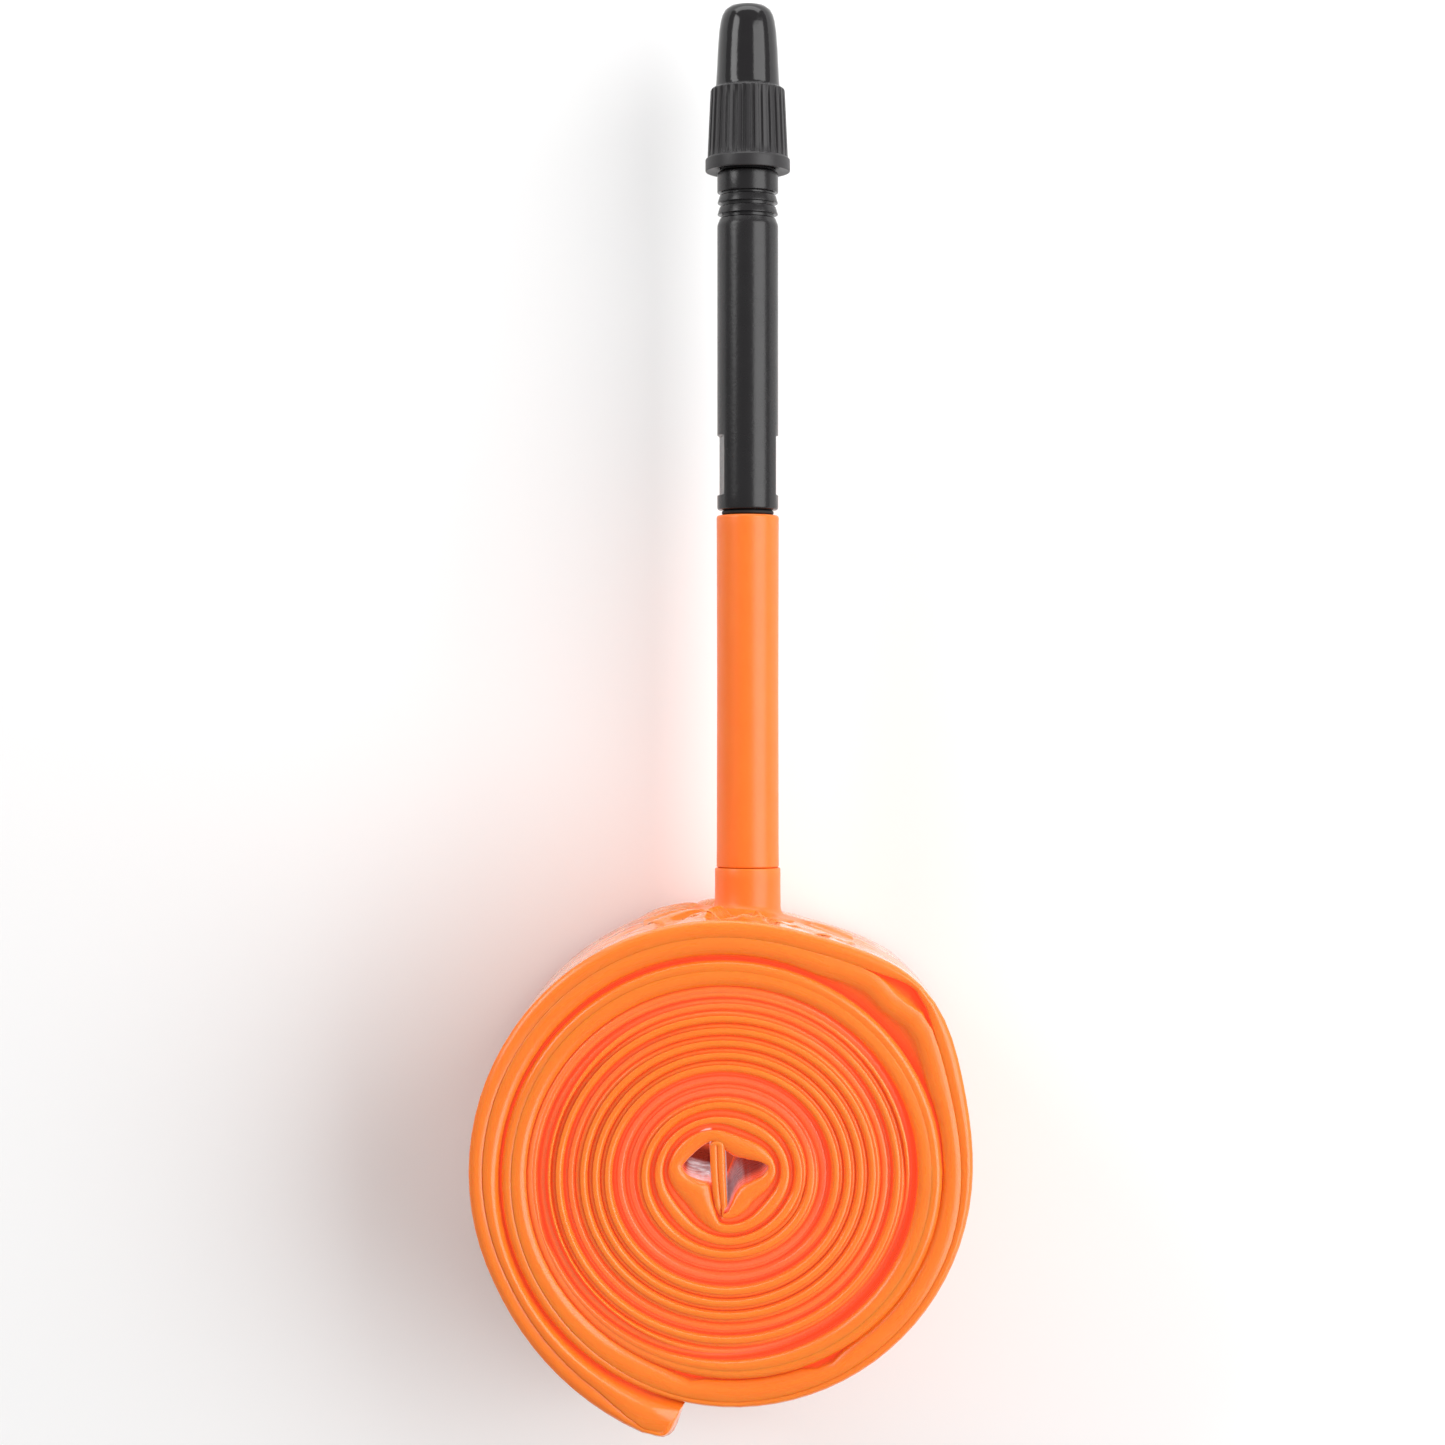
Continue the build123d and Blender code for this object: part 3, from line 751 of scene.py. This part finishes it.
def make_cap():
    skirt_low, skirt_top = CAP_LOW + 1.3, SKIRT_TOP
    outside = [(CAP_R - 0.06, CAP_LOW, 0.04), (CAP_R, CAP_LOW + 0.08, 0.05), (CAP_R, skirt_low - 0.16, 0.1)]
    outside += [(3.86, skirt_low, 0.04), (3.82, skirt_low + 0.05), (3.66, 98.3)]
    outside += [(3.53, skirt_top - 0.16, 0.08)]
    outside += [(3.4, skirt_top, 0.08), (3.07, skirt_top + 0.12, 0.06), (3.03, 101.6), (2.99, 102.1)]
    outside += [(2.92, 103.4), (2.85, 104.95), (2.72, 106.66), (2.58, 107.6), (2.44, 108.15), (2.18, 108.65)]
    outside += [(1.7, 109.02)]
    outside += [(1.05, CAP_TOP - 0.06), (0.5, CAP_TOP - 0.01), (0.001, CAP_TOP)]
    inside = [(0.001, 107.4), (1.5, 107.4, 0.2), (2.3, 106.2, 0.3), (2.42, 102.6, 0.2), (2.65, 101.0)]
    inside += [(2.66, CAP_LOW + 0.3, 0.1)]

    def ribs(r, y, a):
        if r < 3.2 or not skirt_low < y < skirt_top:
            return r
        wave = cos(CAP_RIBS * a)
        groove = ease((0.3 - wave) / 0.7)
        return r - 0.23 * groove * window(y, skirt_low, skirt_low + 0.12, skirt_top - 0.5, skirt_top)

    lathe("ribbed_cap", outside + inside, CAP_RIBS * 14, "cap", cap_satin, ("dust_cap",), ribs,
          longest=0.7, sharp=50)


make_cap()


# Hidden seals keep their CAD shape and get their own look

for node in ("core_gasket", "pin_seal"):
    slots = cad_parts[node].material_slots
    if slots:
        slots[0].material = rubber
    else:
        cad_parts[node].data.materials.append(rubber)


# Camera, lights and floor

CAMERA_Y = 40.9             # in mm along the valve
CAMERA_HEIGHT = 300         # over the roll's middle plane
LENS = 78.5
SENSOR = 36
FLOOR_DROP = -0.2           # keeps the floor clear of the roll's underside


def make_camera():
    data = bpy.data.cameras.new("camera")
    data.lens = LENS
    data.sensor_width = SENSOR
    data.clip_start = 0.01
    camera = bpy.data.objects.new("camera", data)
    camera.location = (0, CAMERA_Y * MM, (AXIS_Z + CAMERA_HEIGHT) * MM)
    bpy.context.scene.collection.objects.link(camera)
    bpy.context.scene.camera = camera


def softbox(name, place, target, size, power):
    """An area light, its place and target in mm"""
    data = bpy.data.lights.new(name, "AREA")
    data.shape = "RECTANGLE"
    data.size, data.size_y = size[0] * MM, size[1] * MM
    data.energy = power
    lamp = bpy.data.objects.new(name, data)
    lamp.location = Vector(place) * MM
    lamp.rotation_euler = (Vector(target) * MM - lamp.location).to_track_quat("-Z", "Y").to_euler()
    bpy.context.scene.collection.objects.link(lamp)


def make_studio():
    world = bpy.data.worlds.new("world")
    bpy.context.scene.world = world
    world.use_nodes = True
    background = world.node_tree.nodes["Background"]
    background.inputs["Color"].default_value = (1.0, 1.0, 1.0, 1)
    background.inputs["Strength"].default_value = 0.4
    middle = (0, 40, 0)
    softbox("right_softbox", (360, 60, 360), middle, (620, 420), 2.7)
    softbox("left_softbox", (-420, 300, 330), middle, (300, 220), 0.95)
    softbox("top_softbox", (0, 380, 80), middle, (460, 150), 0.7)
    mesh = bpy.data.meshes.new("floor")
    reach = 3000 * MM
    corners = [(-reach, -reach, 0), (reach, -reach, 0), (reach, reach, 0), (-reach, reach, 0)]
    mesh.from_pydata(corners, [], [(0, 1, 2, 3)])
    mat, node, link = material("floor", (0.9, 0.9, 0.9), 0.9)
    link(colour_mix(node, grain(node, 90), (0.92, 0.92, 0.92), (0.9, 0.9, 0.9)), "Base Color")
    mesh.materials.append(mat)
    ground = bpy.data.objects.new("floor", mesh)
    ground.location.z = FLOOR_DROP * MM
    bpy.context.scene.collection.objects.link(ground)


make_camera()
make_studio()
bpy.context.scene.view_settings.view_transform = "Standard"
